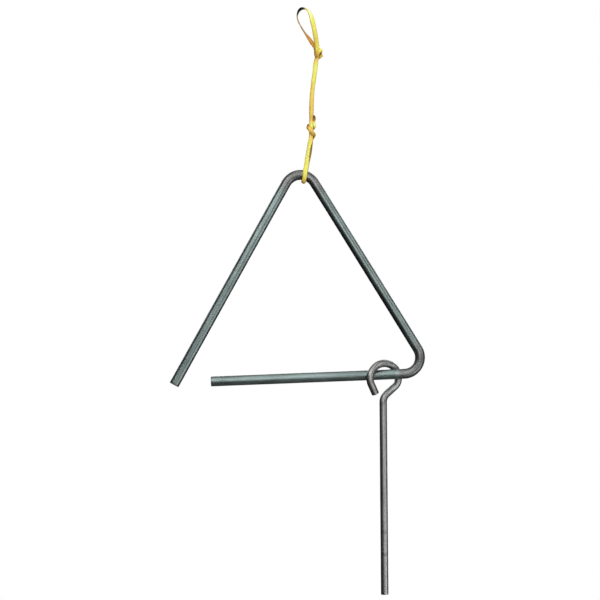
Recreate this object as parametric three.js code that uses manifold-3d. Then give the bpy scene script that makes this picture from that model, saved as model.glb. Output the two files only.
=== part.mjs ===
// Dinner triangle: a bent steel bar hung on a leather lace, with a bent rod striker hooked on its base.
// Millimetres. +X to the right, +Y away from the viewer, +Z up.
// The origin is inside the top of the hanging loop, where a hook or nail carries the triangle.
import * as THREE from 'three';
import { mergeVertices } from 'three/addons/utils/BufferGeometryUtils.js';
import Module from 'manifold-3d';

const wasm = await Module();
wasm.setup();

const { degToRad } = THREE.MathUtils;

// Triangle bar, bent in the XZ plane. Its legs and base are straight lengths between bends and sawn ends.
const BAR_DIAMETER = 10;
const BEND_RADIUS = 16.5; // to the centreline of the bar
const LEFT_LEG = 230.5;
const RIGHT_LEG = 195.5;
const BASE = 193.4;
const APEX_ANGLE = degToRad(60.9); // inside angle between the legs
const CORNER_ANGLE = degToRad(60.4); // inside angle between right leg and base
const TRIANGLE_LEAN = degToRad(1.4); // turn in its own plane as it hangs

// Striker, bent in one plane that stands askew to the bar, so that the eye passes it on both sides. Its lengths,
// radii and angles are those seen from the front.
const ROD_DIAMETER = 7.5;
const EYE_PLAY = 5.75; // the eye's radius beyond a snug fit on the bar
const EYE_SIDE_CLEARANCE = 0.8; // in front of the bar and behind it
const EYE_SEAT_GAP = 0.35; // where the eye's two shoulders sit on the bar
const EYE_SWEEP = degToRad(203.5); // from the neck over the top to the straight free end
const EYE_TAIL = 10.5; // straight length of the free end
const NECK_RISE = 1.1; // straight length between neck and eye
const NECK_RADIUS = 10.2; // to the centreline of the rod, both bends
const NECK_TURN = degToRad(50);
const SHAFT_OFFSET = 1.3; // from under the eye's centre, towards its free end
const SHAFT_LENGTH = 192.45;
const STRIKER_LEAN = degToRad(0.47); // the shaft's foot swings to the right
const STRIKER_FROM_CORNER = 20; // along the base, from the corner bend to the eye's centre

// Leather lace, a flat strip
const LACE_WIDTH = 4.9;
const LACE_THICKNESS = 1.6;
const LACE_EDGE = 0.4; // chamfer of its long edges
const LACE_GAP = 0.3; // between a stretch of lace and the knot that it goes into
const SWAY_GAP = 0.9; // under the loop knot, where the lace bends
const LOOP_SEAT = new THREE.Vector3(0.4, 0, -165.45); // on the bar's centreline, where the lower loop hangs
const LOOP_SHIFT = degToRad(15.889); // the seat's place on the apex bend, to the right of its crown
const STRAND_SPREAD = 1.35; // half the distance between the two strands where they enter a knot

// Knots: their ends are points on the lace
const LOOP_KNOT_TOP = new THREE.Vector3(13.6, 0, -40.4);
const LOOP_KNOT_BOTTOM = new THREE.Vector3(12, 0, -50.2);
const TIE_KNOT_TOP = new THREE.Vector3(6.6, 0, -113);
const TIE_KNOT_BOTTOM = new THREE.Vector3(7, 0, -128.2);
const KNOT_WIDTH = 8;
const KNOT_DEPTH = 6.4;
const KNOT_END_WIDTH = 6; // flat ends, where the lace goes in
const WRAP_RISE = 0.7; // how far the lace that wraps a knot stands out of it
const TIE_WRAP_TILT = degToRad(40);
const LOOP_WRAP_TILT = degToRad(-28);
const TIE_TAIL_LENGTH = 7.5; // above the knot
const TIE_TAIL_CLEARANCE = 0.6; // between the tail and the strand beside it
const LOOP_TAIL_LENGTH = 2; // beyond the knot's side
const LOOP_TAIL_SLANT = degToRad(36); // below square to the knot

// Facets
const ROD_SIDES = 24;
const KNOT_SIDES = 20;
const KNOT_RINGS = 8;
const BEND_STEP = degToRad(10);
const STEPS_PER_POINT = 2;

// The lace's route, in order: each row is a point and the direction that the grain side faces.
// The hanging loop, up its back strand, over the top and down its front strand
const HANG_LOOP_ROWS = [
  [10.6, 3.1, -37, -0.45, 0.88, -0.1],
  [8.5, 3.6, -33.8, -0.45, 0.88, -0.15],
  [4.5, 4.4, -28, -0.58, 0.76, -0.2],
  [0.1, 5.5, -21.6, -0.88, 0.3, -0.3],
  [-3.6, 6.3, -15.4, -0.93, 0.15, -0.25],
  [-5.9, 6.5, -11, -0.98, 0, -0.15],
  [-7.2, 6.2, -6.8, -1, 0.03, 0],
  [-6.8, 5.2, -2.5, -0.93, 0.15, 0.3],
  [-5, 3.6, 0.6, -0.55, 0.3, 0.78],
  [-2.2, 1.4, 1.9, -0.1, 0.3, 0.95],
  [1.2, -1.4, 1, 0.2, 0.1, 0.97],
  [4.3, -4.2, -1.8, 0.5, -0.4, 0.75],
  [6.6, -6.6, -6.3, 0.55, -0.73, 0.4],
  [8.2, -7.7, -12.8, 0.45, -0.88, 0.12],
  [10, -7.2, -20.8, 0.32, -0.95, 0],
  [11.3, -5.3, -28.4, 0.25, -0.97, 0],
  [12.4, -3, -34.6, 0.22, -0.97, 0],
];

// The free strand between the knots, from top to bottom
const TETHER_ROWS = [
  [11.1, -0.2, -54.5, 0, -1, 0],
  [10.5, -0.4, -60.5, 0, -1, 0],
  [9.4, -0.5, -68.5, 0, -1, 0],
  [8, -0.4, -79, 0, -1, 0],
  [7.3, -0.2, -88, 0, -1, 0],
  [7, -0.1, -97, 0, -1, 0],
  [6.8, -0.1, -106, 0.1, -1, 0],
];

// The lower loop, down in front of the bar, under it and up behind it
const APEX_LOOP_ROWS = [
  [4.9, -2.9, -134.5, -0.3, -0.95, 0],
  [3.8, -3.6, -140, -0.48, -0.87, 0],
  [2.6, -4.7, -147.5, -0.42, -0.9, 0],
  [1.9, -5.9, -155.5, -0.1, -1, 0],
  [0.7, -6.5, -162, 0, -1, 0],
  [-0.1, -6.1, -168.4, -0.05, -0.9, -0.45],
  [-0.8, -3.7, -171.7, -0.15, -0.5, -0.85],
  [-1.1, 0, -172.6, -0.22, 0, -1],
  [-0.9, 3.6, -171.7, -0.15, 0.5, -0.85],
  [-0.2, 6.1, -168.5, 0, 0.9, -0.45],
  [0.7, 6.6, -162.5, 0, 1, 0],
  [1.8, 6.4, -157, 0, 1, 0],
  [3.1, 5.8, -150.5, 0, 1, 0],
  [4.8, 4.8, -142.5, 0, 1, 0],
  [5.7, 3.9, -136.5, 0.1, 1, 0],
];

const barRadius = BAR_DIAMETER / 2;
const rodRadius = ROD_DIAMETER / 2;
const barAndRod = barRadius + rodRadius;
const loopKnotUp = LOOP_KNOT_TOP.clone().sub(LOOP_KNOT_BOTTOM).normalize();
const tieKnotUp = TIE_KNOT_TOP.clone().sub(TIE_KNOT_BOTTOM).normalize();

// A route through stations, each with a point, a tangent and the direction of the section's first axis.
class StationRoute extends THREE.Curve {
  constructor(stations) {
    super();
    this.stations = stations;
  }

  getUtoTmapping(u) {
    return u;
  }

  getPoint(t, target = new THREE.Vector3()) {
    const place = t * (this.stations.length - 1);
    const before = Math.min(Math.floor(place), this.stations.length - 2);
    const { point: from } = this.stations[before];
    const { point: to } = this.stations[before + 1];
    return target.lerpVectors(from, to, place - before);
  }

  computeFrenetFrames() {
    const tangents = this.stations.map((station) => station.tangent);
    const normals = this.stations.map((station) => station.face);
    const binormals = this.stations.map(({ tangent, face }) => tangent.clone().cross(face));
    return { tangents, normals, binormals };
  }
}

// A section carried along stations, closed by a flat face at each end
function sweep(section, stations) {
  return new THREE.ExtrudeGeometry(section, {
    steps: stations.length - 1,
    extrudePath: new StationRoute(stations),
  });
}

function roundSection(radius) {
  const corners = Array.from({ length: ROD_SIDES }, (_, i) => {
    const angle = (2 * Math.PI * i) / ROD_SIDES;
    return new THREE.Vector2(radius * Math.cos(angle), radius * Math.sin(angle));
  });
  return new THREE.Shape(corners);
}

// The strip's section: thickness along the face direction, width across it
function laceSection() {
  const thick = LACE_THICKNESS / 2;
  const wide = LACE_WIDTH / 2;
  const corners = [
    [thick, wide - LACE_EDGE],
    [thick - LACE_EDGE, wide],
    [LACE_EDGE - thick, wide],
    [-thick, wide - LACE_EDGE],
    [-thick, LACE_EDGE - wide],
    [LACE_EDGE - thick, -wide],
    [thick - LACE_EDGE, -wide],
    [thick, LACE_EDGE - wide],
  ];
  return new THREE.Shape(corners.map(([x, y]) => new THREE.Vector2(x, y)));
}

// Stations of a rod bent in the XZ plane. It starts at a point with a heading, counted from +X towards +Z,
// and makes moves: a straight run, or a bend of a radius by an angle (positive turns from +X towards +Z).
function bentRoute(start, startHeading, moves) {
  const stations = [];
  const face = new THREE.Vector3(0, 1, 0);
  const point = start.clone();
  let heading = startHeading;
  const along = () => new THREE.Vector3(Math.cos(heading), 0, Math.sin(heading));
  const mark = () => stations.push({ point: point.clone(), tangent: along(), face });
  mark();
  for (const { run, radius, turn } of moves) {
    if (run) {
      point.addScaledVector(along(), run);
      mark();
      continue;
    }
    const steps = Math.ceil(Math.abs(turn) / BEND_STEP);
    const chord = 2 * radius * Math.sin(Math.abs(turn) / steps / 2);
    for (let i = 0; i < steps; i += 1) {
      heading += turn / steps / 2;
      point.addScaledVector(along(), chord);
      heading += turn / steps / 2;
      mark();
    }
  }
  return stations;
}

// A face direction turned square to a tangent
function squared(face, tangent) {
  return face.clone().addScaledVector(tangent, -face.dot(tangent)).normalize();
}

// Stations of a lace through rows of a point and the direction that its grain side faces
function laceRoute(rows) {
  const curve = new THREE.CatmullRomCurve3(rows.map((row) => new THREE.Vector3(...row)));
  const faces = rows.map((row) => new THREE.Vector3(...row.slice(3)));
  const spans = rows.length - 1;
  const steps = spans * STEPS_PER_POINT;
  return Array.from({ length: steps + 1 }, (_, i) => {
    const t = i / steps;
    const before = Math.min(Math.floor(t * spans), spans - 1);
    const tangent = curve.getTangent(t);
    const face = new THREE.Vector3().lerpVectors(faces[before], faces[before + 1], t * spans - before);
    return { point: curve.getPoint(t), tangent, face: squared(face, tangent) };
  });
}

// Cut a stretch's two ends parallel to the ends of the knots that they go into
function cutAtKnots(stations, startAlong, endAlong) {
  const last = stations.length - 1;
  for (const [place, along] of [[0, startAlong], [last, endAlong]]) {
    stations[place].tangent = along;
    stations[place].face = squared(stations[place].face, along);
  }
  return stations;
}

function toSolid(geometry) {
  geometry.deleteAttribute('normal');
  geometry.deleteAttribute('uv');
  const { index, attributes } = mergeVertices(geometry);
  const triangles = [];
  for (let i = 0; i < index.count; i += 3) {
    const corners = [index.getX(i), index.getX(i + 1), index.getX(i + 2)];
    if (new Set(corners).size === 3) triangles.push(...corners);
  }
  const mesh = new wasm.Mesh({
    numProp: 3,
    vertProperties: attributes.position.array,
    triVerts: new Uint32Array(triangles),
  });
  return new wasm.Manifold(mesh);
}

function toGeometry(solid) {
  const mesh = solid.getMesh();
  const geometry = new THREE.BufferGeometry();
  geometry.setAttribute('position', new THREE.BufferAttribute(mesh.vertProperties, 3));
  geometry.setIndex(new THREE.BufferAttribute(mesh.triVerts, 1));
  geometry.computeVertexNormals();
  return geometry;
}

function namedMesh(name, geometry, material) {
  const mesh = new THREE.Mesh(geometry, material);
  mesh.name = name;
  return mesh;
}

function scaledSteel() {
  return new THREE.MeshStandardMaterial({ color: 0x58635f, roughness: 0.55, metalness: 0.8 });
}

function brownedSteel() {
  return new THREE.MeshStandardMaterial({ color: 0x68645e, roughness: 0.6, metalness: 0.8 });
}

function yellowLeather() {
  return new THREE.MeshStandardMaterial({ color: 0xe8bf3c, roughness: 0.6, metalness: 0 });
}

// The bar from the left leg's sawn end, round apex and corner, to the base's sawn end, about the apex bend's
// centre, with the triangle upright
function triangleStations() {
  const legHeading = (Math.PI - APEX_ANGLE) / 2;
  const apexTurn = APEX_ANGLE - Math.PI;
  const cornerTurn = CORNER_ANGLE - Math.PI;
  const leftTangent = new THREE.Vector3(-Math.sin(legHeading), 0, Math.cos(legHeading));
  const leftDown = new THREE.Vector3(-Math.cos(legHeading), 0, -Math.sin(legHeading));
  const start = leftTangent.multiplyScalar(BEND_RADIUS).addScaledVector(leftDown, LEFT_LEG);
  return bentRoute(start, legHeading, [
    { run: LEFT_LEG },
    { radius: BEND_RADIUS, turn: apexTurn },
    { run: RIGHT_LEG },
    { radius: BEND_RADIUS, turn: cornerTurn },
    { run: BASE },
  ]);
}

function triangleBar() {
  return namedMesh('triangle_bar', sweep(roundSection(barRadius), triangleStations()), scaledSteel());
}

// The striker's rod from the foot of its shaft, through the neck and round the eye to its free end,
// about the eye's centre, as seen from the front
function strikerStations(eyeRadius) {
  const jog = eyeRadius + SHAFT_OFFSET - 2 * NECK_RADIUS * (1 - Math.cos(NECK_TURN));
  const slant = jog / Math.sin(NECK_TURN);
  const neckDrop = 2 * NECK_RADIUS * Math.sin(NECK_TURN) + slant * Math.cos(NECK_TURN) + NECK_RISE;
  const foot = new THREE.Vector3(-SHAFT_OFFSET, 0, -neckDrop - SHAFT_LENGTH);
  return bentRoute(foot, Math.PI / 2, [
    { run: SHAFT_LENGTH },
    { radius: NECK_RADIUS, turn: -NECK_TURN },
    { run: slant },
    { radius: NECK_RADIUS, turn: NECK_TURN },
    { run: NECK_RISE },
    { radius: eyeRadius, turn: EYE_SWEEP },
    { run: EYE_TAIL },
  ]);
}

// Stations moved back in proportion to X, into a plane that stands askew
function askew(stations, skew) {
  const face = new THREE.Vector3(-skew, 1, 0).normalize();
  return stations.map(({ point, tangent }) => ({
    point: point.clone().setY(skew * point.x),
    tangent: tangent.clone().setY(skew * tangent.x).normalize(),
    face,
  }));
}

// The striker hung on a bar along X through the origin: the eye stands askew until it clears the bar in front
// and behind, and it drops until its two shoulders sit on the bar.
function striker() {
  const eyeRadius = barAndRod + EYE_PLAY;
  const reach = barAndRod + EYE_SIDE_CLEARANCE;
  const seat = barAndRod + EYE_SEAT_GAP;
  const drop = Math.sqrt((eyeRadius ** 2 - reach ** 2) * (1 - (seat / reach) ** 2));
  const rod = sweep(roundSection(rodRadius), askew(strikerStations(eyeRadius), reach / eyeRadius));
  const mesh = namedMesh('striker', rod, brownedSteel());
  mesh.rotation.y = -STRIKER_LEAN;
  mesh.position.z = -drop;
  return mesh;
}

// The triangle and its striker, placed so that the bar passes through the lower loop's seat
function triangleAndStriker() {
  const group = new THREE.Group();
  const stations = triangleStations();
  const { point: cornerEnd } = stations[stations.length - 2];
  const { point: baseEnd } = stations[stations.length - 1];
  const towardsEnd = new THREE.Vector3().subVectors(baseEnd, cornerEnd).normalize();
  const hook = new THREE.Group();
  hook.position.copy(cornerEnd).addScaledVector(towardsEnd, STRIKER_FROM_CORNER);
  hook.rotation.y = TRIANGLE_LEAN;
  hook.add(striker());
  group.add(triangleBar(), hook);
  group.rotation.y = -TRIANGLE_LEAN;
  const seatFromCentre = new THREE.Vector3(Math.sin(LOOP_SHIFT), 0, Math.cos(LOOP_SHIFT));
  group.position.copy(LOOP_SEAT).addScaledVector(seatFromCentre, -BEND_RADIUS);
  return group;
}

// Stations bent in the XZ plane, with the lace's face turned into that plane, so that it bends flatwise
function flatwise(stations) {
  return stations.map(({ point, tangent }) => {
    const face = new THREE.Vector3(-tangent.z, 0, tangent.x);
    return { point, tangent, face };
  });
}

// A knot's lump, turned about Z: rounded, with flat ends
function knotLump(height) {
  const rim = KNOT_END_WIDTH / 2;
  const bulge = KNOT_WIDTH / 2 - rim;
  const side = Array.from({ length: KNOT_RINGS + 1 }, (_, i) => {
    const angle = Math.PI * (i / KNOT_RINGS - 0.5);
    return new THREE.Vector2(rim + bulge * Math.cos(angle), (height / 2) * Math.sin(angle));
  });
  const profile = [new THREE.Vector2(0, -height / 2), ...side, new THREE.Vector2(0, height / 2)];
  return new THREE.LatheGeometry(profile, KNOT_SIDES).rotateX(Math.PI / 2);
}

// The strip that wraps a knot on the slant: an oval ring that follows the lump's side
function knotWrap(tilt) {
  const middle = KNOT_WIDTH / 2 / Math.cos(tilt);
  const inner = middle - LACE_THICKNESS / 2;
  const outer = middle + WRAP_RISE;
  const wide = LACE_WIDTH / 2;
  const band = [
    [inner, -wide],
    [outer, LACE_EDGE - wide],
    [outer, wide - LACE_EDGE],
    [inner, wide],
    [inner, -wide],
  ];
  const ring = new THREE.LatheGeometry(band.map(([x, y]) => new THREE.Vector2(x, y)), KNOT_SIDES);
  return ring.rotateX(Math.PI / 2).scale(1, Math.cos(tilt), 1).rotateY(-tilt);
}

// A knot between two points on the lace, with a tail given in the knot's own frame
function knotMesh(name, bottom, top, wrapTilt, tail) {
  const along = top.clone().sub(bottom);
  const forms = [knotLump(along.length()), knotWrap(wrapTilt)];
  const [lump, wrap] = forms.map((form) => toSolid(form.scale(1, KNOT_DEPTH / KNOT_WIDTH, 1)));
  const mesh = namedMesh(name, toGeometry(lump.add(wrap).add(toSolid(tail))), yellowLeather());
  mesh.position.addVectors(bottom, top).multiplyScalar(0.5);
  mesh.rotation.y = Math.atan2(along.x, along.z);
  return mesh;
}

// The tie knot's tail leaves the knot to the right and stands up beside the strand, clear of it as it turns
function tieKnotTail() {
  const strandCorner = Math.hypot(LACE_WIDTH, LACE_THICKNESS) / 2;
  const beside = strandCorner + TIE_TAIL_CLEARANCE + LACE_THICKNESS / 2;
  const rise = TIE_KNOT_TOP.distanceTo(TIE_KNOT_BOTTOM) / 2 + TIE_TAIL_LENGTH;
  const route = bentRoute(new THREE.Vector3(), 0, [
    { run: beside - LACE_THICKNESS },
    { radius: LACE_THICKNESS, turn: Math.PI / 2 },
    { run: rise - LACE_THICKNESS },
  ]);
  return sweep(laceSection(), flatwise(route));
}

// The loop knot's tail points down and to the right
function loopKnotTail() {
  const run = KNOT_WIDTH / 2 + LOOP_TAIL_LENGTH;
  return sweep(laceSection(), bentRoute(new THREE.Vector3(), -LOOP_TAIL_SLANT, [{ run }]));
}

function laceStretch(name, stations) {
  return namedMesh(name, sweep(laceSection(), stations), yellowLeather());
}

function hangLoop() {
  const { x, z } = LOOP_KNOT_TOP.clone().addScaledVector(loopKnotUp, LACE_GAP);
  const back = [x - STRAND_SPREAD, STRAND_SPREAD, z, -0.2, 0.98, 0];
  const front = [x, -STRAND_SPREAD, z, 0.2, -0.98, 0];
  const stations = laceRoute([back, ...HANG_LOOP_ROWS, front]);
  return laceStretch('hang_loop', cutAtKnots(stations, loopKnotUp, loopKnotUp.clone().negate()));
}

function tether() {
  const top = LOOP_KNOT_BOTTOM.clone().addScaledVector(loopKnotUp, -SWAY_GAP);
  const bottom = TIE_KNOT_TOP.clone().addScaledVector(tieKnotUp, LACE_GAP);
  const stations = laceRoute([[...top.toArray(), 0, -1, 0], ...TETHER_ROWS, [...bottom.toArray(), 0, -1, 0]]);
  return laceStretch('tether', cutAtKnots(stations, loopKnotUp.clone().negate(), tieKnotUp.clone().negate()));
}

function apexLoop() {
  const { x, z } = TIE_KNOT_BOTTOM.clone().addScaledVector(tieKnotUp, -LACE_GAP);
  const front = [x, -STRAND_SPREAD, z, 0, -1, 0];
  const back = [x, STRAND_SPREAD, z, 0, 1, 0];
  const stations = laceRoute([front, ...APEX_LOOP_ROWS, back]);
  return laceStretch('apex_loop', cutAtKnots(stations, tieKnotUp.clone().negate(), tieKnotUp));
}

function dinnerTriangle() {
  const group = new THREE.Group();
  group.name = 'dinner_triangle';
  group.add(
    hangLoop(),
    knotMesh('loop_knot', LOOP_KNOT_BOTTOM, LOOP_KNOT_TOP, LOOP_WRAP_TILT, loopKnotTail()),
    tether(),
    knotMesh('tie_knot', TIE_KNOT_BOTTOM, TIE_KNOT_TOP, TIE_WRAP_TILT, tieKnotTail()),
    apexLoop(),
    triangleAndStriker(),
  );
  return group;
}

export default dinnerTriangle();
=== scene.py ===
"""Finished surfaces of a dinner triangle: scaled steel bar and striker, knotted yellow leather lace."""

import math

import bpy
import numpy as np
from bpy.props import FloatProperty, FloatVectorProperty, IntProperty, PointerProperty
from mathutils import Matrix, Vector


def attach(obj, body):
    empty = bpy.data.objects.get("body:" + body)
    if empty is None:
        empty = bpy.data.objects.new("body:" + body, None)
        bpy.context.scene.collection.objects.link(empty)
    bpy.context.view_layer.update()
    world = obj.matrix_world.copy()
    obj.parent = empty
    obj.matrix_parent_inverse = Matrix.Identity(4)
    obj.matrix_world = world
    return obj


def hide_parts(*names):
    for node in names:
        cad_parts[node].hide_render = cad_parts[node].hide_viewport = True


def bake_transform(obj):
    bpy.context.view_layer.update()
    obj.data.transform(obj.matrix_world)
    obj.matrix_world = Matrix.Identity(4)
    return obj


bl_info = {
    "name": "Dinner triangle",
    "version": (1, 0, 0),
    "blender": (4, 5, 0),
    "location": "3D View > Sidebar > Dinner triangle",
    "description": "Builds the steel, leather and stage of a hanging dinner triangle",
    "category": "Object",
}

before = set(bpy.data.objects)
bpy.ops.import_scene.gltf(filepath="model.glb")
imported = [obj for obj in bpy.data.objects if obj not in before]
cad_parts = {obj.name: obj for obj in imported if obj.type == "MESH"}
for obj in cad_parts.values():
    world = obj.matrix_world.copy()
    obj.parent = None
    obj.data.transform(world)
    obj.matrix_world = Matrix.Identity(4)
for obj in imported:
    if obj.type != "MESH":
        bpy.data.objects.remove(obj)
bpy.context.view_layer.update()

MM = 0.001
TOWARDS_VIEWER = np.array([0.0, -1.0, 0.0])


def length(name, description, millimetres):
    return FloatProperty(
        name=name,
        description=description,
        default=millimetres * MM,
        unit="LENGTH",
        subtype="DISTANCE",
        precision=5,
    )


def angle(name, description, degrees):
    return FloatProperty(
        name=name, description=description, default=math.radians(degrees), unit="ROTATION", subtype="ANGLE"
    )


def place(name, description, millimetres):
    return FloatVectorProperty(
        name=name,
        description=description,
        default=[x * MM for x in millimetres],
        unit="LENGTH",
        subtype="TRANSLATION",
        precision=5,
    )


def colour(name, description, rgb):
    return FloatVectorProperty(
        name=name, description=description, default=rgb, subtype="COLOR", min=0.0, max=1.0
    )


def watts(name, description, power):
    return FloatProperty(name=name, description=description, default=power, unit="POWER", min=0.0)


def share(name, description, default, most):
    return FloatProperty(name=name, description=description, default=default, min=0.0, max=most)


class BarSizes(bpy.types.PropertyGroup):
    diameter: length("Bar diameter", "Thickness of the triangle's round bar", 10)
    bend_radius: length("Bend radius", "Radius of both bends, to the middle of the bar", 16.5)
    left_leg: length("Left leg", "Straight length from the left sawn end to the apex bend", 230.5)
    right_leg: length("Right leg", "Straight length from the apex bend to the corner bend", 195.5)
    base: length("Base", "Straight length from the corner bend to the sawn end of the base", 193.4)
    apex_angle: angle("Apex angle", "Inside angle between the legs", 60.9)
    corner_angle: angle("Corner angle", "Inside angle between the right leg and the base", 60.4)
    lean: angle("Lean", "Turn of the triangle in its own plane as it hangs", 1.4)
    seat: place("Seat", "Point on the middle of the bar where the lower loop hangs", (0.4, 0, -165.45))
    seat_shift: angle("Seat shift", "The seat's place on the apex bend, right of its crown", 15.889)
    burr: length("Sawn edge", "Width of the broken edge round a sawn end", 0.35)
    bend_squeeze: share("Bend squeeze", "How much a bend thins the bar on its outer side", 0.03, 0.2)


class StrikerSizes(bpy.types.PropertyGroup):
    diameter: length("Rod diameter", "Thickness of the striker's rod", 7.5)
    eye_play: length("Eye play", "The eye's radius beyond a snug fit on the bar, from the front", 5.75)
    side_clearance: length("Side clearance", "Between eye and bar, in front and behind", 0.8)
    seat_gap: length("Seat gap", "Where the eye's two shoulders sit on the bar", 0.35)
    eye_sweep: angle("Eye sweep", "From the neck over the top to the straight free end", 203.5)
    eye_tail: length("Eye tail", "Straight length of the eye's free end", 10.5)
    neck_rise: length("Neck rise", "Straight length between the neck and the eye", 1.1)
    neck_radius: length("Neck radius", "Radius of the neck's two bends, to the middle of the rod", 10.2)
    neck_turn: angle("Neck turn", "Angle of each neck bend", 50)
    shaft_offset: length("Shaft offset", "Shaft from under the eye's middle, towards the free end", 1.3)
    shaft_length: length("Shaft length", "Straight length below the neck", 192.45)
    lean: angle("Lean", "Swing of the shaft's foot to the right", 0.47)
    from_corner: length("From corner", "Along the base, from the corner bend to the eye", 20.0)
    burr: length("Cut edge", "Width of the broken edge round a cut end", 0.4)
    bend_squeeze: share("Bend squeeze", "How much a bend thins the rod on one side", 0.03, 0.2)


class LaceSizes(bpy.types.PropertyGroup):
    width: length("Lace width", "Width of the leather strip", 4.9)
    thickness: length("Lace thickness", "Thickness of the leather strip", 1.2)
    ring_spacing: length("Ring spacing", "Distance between sections along the lace", 0.4)
    section_points: IntProperty(
        name="Section points", description="Points round the lace's section", default=32, min=12, max=64
    )


class Finishes(bpy.types.PropertyGroup):
    scale_dark: colour("Scale, dark", "Dark streaks of the bar's blue-green scale", (0.075, 0.098, 0.094))
    scale_light: colour("Scale, light", "Light streaks of the bar's blue-green scale", (0.222, 0.277, 0.264))
    bend_dark: colour("Bend, dark", "Dark grain of the browned bends", (0.083, 0.086, 0.084))
    bend_light: colour("Bend, light", "Light grain of the browned bends", (0.185, 0.192, 0.187))
    rod_dark: colour("Rod, dark", "Dark grain of the striker's rod", (0.228, 0.229, 0.226))
    rod_light: colour("Rod, light", "Light grain of the striker's rod", (0.362, 0.364, 0.358))
    eye_dark: colour("Eye, dark", "Dark grain of the striker's bends and foot", (0.166, 0.170, 0.162))
    eye_light: colour("Eye, light", "Light grain of the striker's bends and foot", (0.303, 0.311, 0.297))
    sawn_steel: colour("Sawn steel", "Bare steel of the sawn ends and rubbed spots", (0.52, 0.53, 0.54))
    lemon: colour("Lemon", "Lightest yellow of the lace's grain side", (0.66, 0.63, 0.075))
    # Painted highlight: this palest yellow stands in for glare where the grain side faces the lamps.
    painted_highlight: colour("Cream", "Palest yellow, where the grain side is worn", (0.80, 0.79, 0.30))
    gold: colour("Gold", "Deeper yellow of the lace's grain side", (0.70, 0.48, 0.06))
    # Tan is the darker grain colour of low tones; on the front of the lower knot's band it is painted shade.
    tan: colour("Tan", "Brown of handled leather on the grain side", (0.46, 0.24, 0.02))
    flesh: colour("Flesh side", "Orange brown of the lace's rough side", (0.50, 0.215, 0.028))
    edge: colour("Cut edge", "Olive brown of the lace's cut edges", (0.34, 0.21, 0.04))
    # Painted shade: this near-black stands in for shadow where the lace turns away from the lamps.
    painted_shade: colour("Stain", "Nearly black stain on the lace", (0.010, 0.007, 0.003))
    floor: colour("Floor", "Pale floor under the triangle", (0.80, 0.80, 0.79))


class StageSettings(bpy.types.PropertyGroup):
    middle: place("View middle", "Point in the middle of the picture", (-4.5, 0, -290))
    view_width: length("View width", "Width of the picture where the triangle hangs", 600)
    lens: FloatProperty(name="Lens", description="Focal length in millimetres", default=100, unit="CAMERA")
    floor_drop: length("Floor drop", "Height of the floor under the hanging point", 1400)
    floor_radius: length("Floor radius", "Radius of the round floor", 850)
    front_power: watts("Front power", "Large light behind the viewer", 12.5)
    upper_power: watts("Upper power", "Light above the viewer", 8.6)
    left_power: watts("Left power", "Light at the upper left", 9.6)
    right_power: watts("Right power", "Light at the upper right", 7.2)
    side_power: watts("Side power", "Light low on the right", 7.0)
    low_power: watts("Low power", "Light below the viewer", 2.6)
    top_power: watts("Top power", "Light overhead", 8.6)
    rear_power: watts("Rear power", "Large light straight behind", 18.0)
    rear_right_power: watts("Rear right power", "Light behind, at the upper right", 8.0)
    rear_left_power: watts("Rear left power", "Light behind, at the upper left", 8.0)
    ambient: share("Ambient", "Brightness of the room around the stage", 0.008, 1.0)


# Numbers and meshes

RUN_STEP = 2 * MM
SHARP_ANGLE = math.radians(35)
ROD_SIDES = 72
# Slow unevenness of a rod: share of its radius, radians per metre and lag along it, lobes and turn round it
WOBBLES = (
    (0.004, 71, 1.3, 2, 0.7),
    (0.003, 187, 0.0, 3, -math.pi / 2),
)
# In a bend: rod radii over which its thinning fades out, and the share of it that swells at front and back
BEND_FADE = 3
SIDE_SWELL = 0.35
# Middle ring of a broken edge: how far in and how far back from the sawn face, as shares of the edge's width
EDGE_INSET = 0.35
EDGE_SETBACK = 0.25


def unit(v):
    return v / np.linalg.norm(v, axis=-1, keepdims=True)


def turned_about(axis, points, turn):
    """Points turned about a coordinate axis (0, 1 or 2) through the origin, counterclockwise as seen from the
    axis's tip."""
    a, b = (axis + 1) % 3, (axis + 2) % 3
    out = points.copy()
    out[:, a] = points[:, a] * math.cos(turn) - points[:, b] * math.sin(turn)
    out[:, b] = points[:, a] * math.sin(turn) + points[:, b] * math.cos(turn)
    return out


def natural_spline(at, values, where):
    """The natural cubic spline through (at, values): its second derivatives come from one tridiagonal solve,
    and each point is a weighting of its span's two ends by (a, b, a^3 - a, b^3 - b)."""
    gap = np.diff(at)
    inner = np.arange(1, len(at) - 1)
    system = np.eye(len(at))
    system[inner, inner - 1] = gap[:-1]
    system[inner, inner] = 2 * (gap[:-1] + gap[1:])
    system[inner, inner + 1] = gap[1:]
    right = np.zeros_like(values)
    right[1:-1] = 6 * np.diff(np.diff(values, axis=0) / gap[:, None], axis=0)
    second = np.linalg.solve(system, right)
    span = np.clip(np.searchsorted(at, where, side="right") - 1, 0, len(gap) - 1)
    a = ((at[span + 1] - where) / gap[span])[:, None]
    b = 1 - a
    bend = (a**3 - a) * second[span] + (b**3 - b) * second[span + 1]
    return a * values[span] + b * values[span + 1] + bend * gap[span, None] ** 2 / 6


def run_lengths(points):
    """Distance along a line of points, from its start to each point."""
    return np.concatenate([[0.0], np.cumsum(np.linalg.norm(np.diff(points, axis=0), axis=1))])


def even_steps(total, step):
    """Even shares of a total, up to 1, each no longer than a step."""
    count = math.ceil(total / step)
    return np.arange(1, count + 1) / count


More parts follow.
